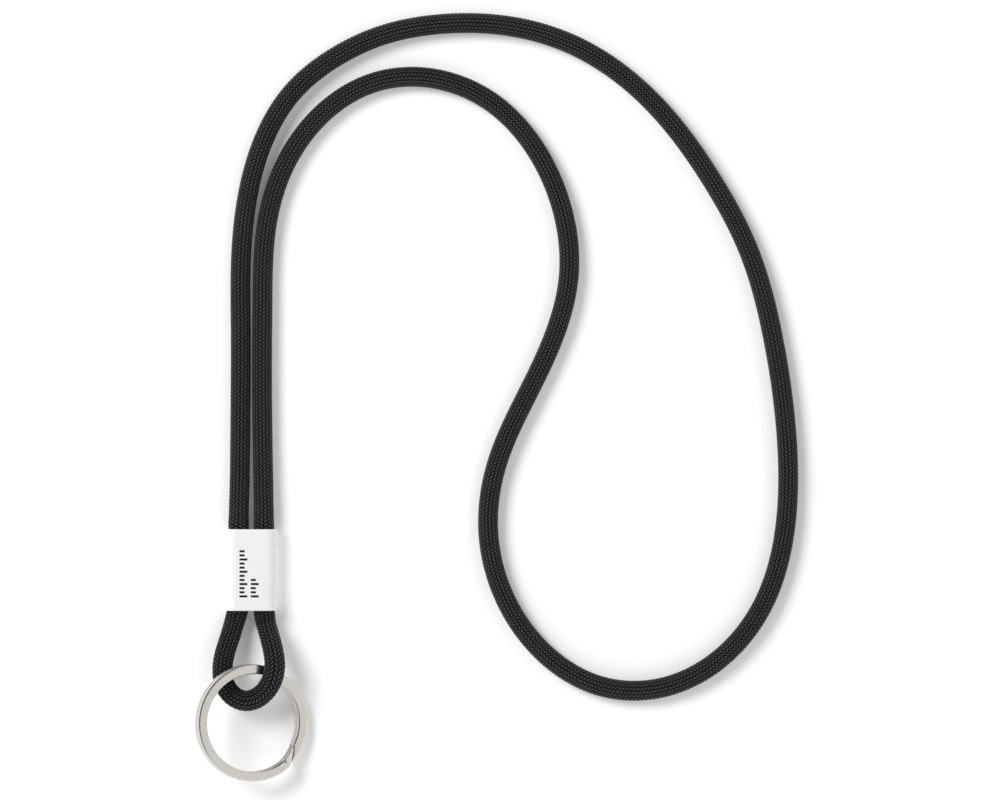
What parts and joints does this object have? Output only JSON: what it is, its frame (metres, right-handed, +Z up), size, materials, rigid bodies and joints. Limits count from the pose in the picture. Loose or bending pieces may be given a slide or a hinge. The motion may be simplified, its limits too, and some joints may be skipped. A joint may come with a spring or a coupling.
{
  "type": "lanyard",
  "caption": "Neck lanyard of round braided cord, its ends crimped in a flat painted metal clamp below the neck loop, with a short key loop that carries a split ring.",
  "frame": {"origin": "centre of the clamp's flat back face, which lies on the floor plane z = 0", "axes": "+X right, +Y from the clamp towards the neck loop, +Z up out of the clamp's front face"},
  "size_m": [0.1765, 0.2251, 0.0171],
  "materials": {
    "clamp_paint": "satin white enamel on folded sheet metal",
    "cord_braid": "black herringbone braid of synthetic yarn",
    "core_yarn": "straight filler yarns",
    "melted_end": "hot-cut and fused yarn",
    "nickel_wire": "nickel plate on flat spring steel wire, tumbled satin"
  },
  "bodies": {
    "clamp": {"clamp_shell": "clamp_paint", "through_run_sheath": "cord_braid", "through_run_core": "core_yarn", "neck_end_sheath": "cord_braid", "neck_end_core": "core_yarn", "loop_end_sheath": "cord_braid", "loop_end_core": "core_yarn", "neck_end_seal": "melted_end", "loop_end_seal": "melted_end", "neck_cord": "cord_braid"},
    "key_loop": {"key_loop_cord": "cord_braid"},
    "ring": {"ring_main_coil": "nickel_wire"},
    "ring_tail": {"ring_tail": "nickel_wire"}
  },
  "joints": [
    {"name": "loop_bend", "type": "hinge", "parent": "clamp", "child": "key_loop", "pos_m": [0, -0.0152, 0.0036], "axis": [1, 0, 0], "range_deg": [-50, 100]},
    {"name": "ring_swivel", "type": "hinge", "parent": "key_loop", "child": "ring", "pos_m": [0.00015, -0.0446, 0.0086], "axis": [0, 1, 0], "range_deg": [0, 75]},
    {"name": "ring_open", "type": "hinge", "parent": "ring", "child": "ring_tail", "pos_m": [0.01071, -0.05711, 0.0035], "axis": [-0.6872, -0.682, 0.2501], "range_deg": [0, 4], "stiffness_Nm_per_rad": 2}
  ]
}
